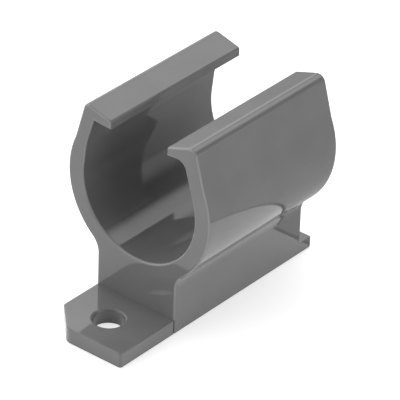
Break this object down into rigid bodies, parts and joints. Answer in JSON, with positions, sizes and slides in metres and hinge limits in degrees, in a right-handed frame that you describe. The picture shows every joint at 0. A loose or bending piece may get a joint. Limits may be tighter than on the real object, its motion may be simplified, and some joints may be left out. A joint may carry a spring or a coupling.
{
  "type": "conduit clamp",
  "caption": "Open-topped plastic clamp on a pedestal; round conduit snaps between two hooked spring arms, and a screw tab in front fixes it to a wall.",
  "frame": {"origin": "on the mounting face, at the axis of the screw hole", "axes": "+Z away from the wall, +Y along the conduit from the screw tab towards the jaw, +X across the clamp to its right, seen from the screw tab"},
  "size_m": [0.0256, 0.0427, 0.031],
  "materials": {
    "grey_plastic": "glossy injection-moulded plastic, mid grey"
  },
  "bodies": {
    "root": {"conduit_clamp": "grey_plastic"}
  },
  "joints": []
}
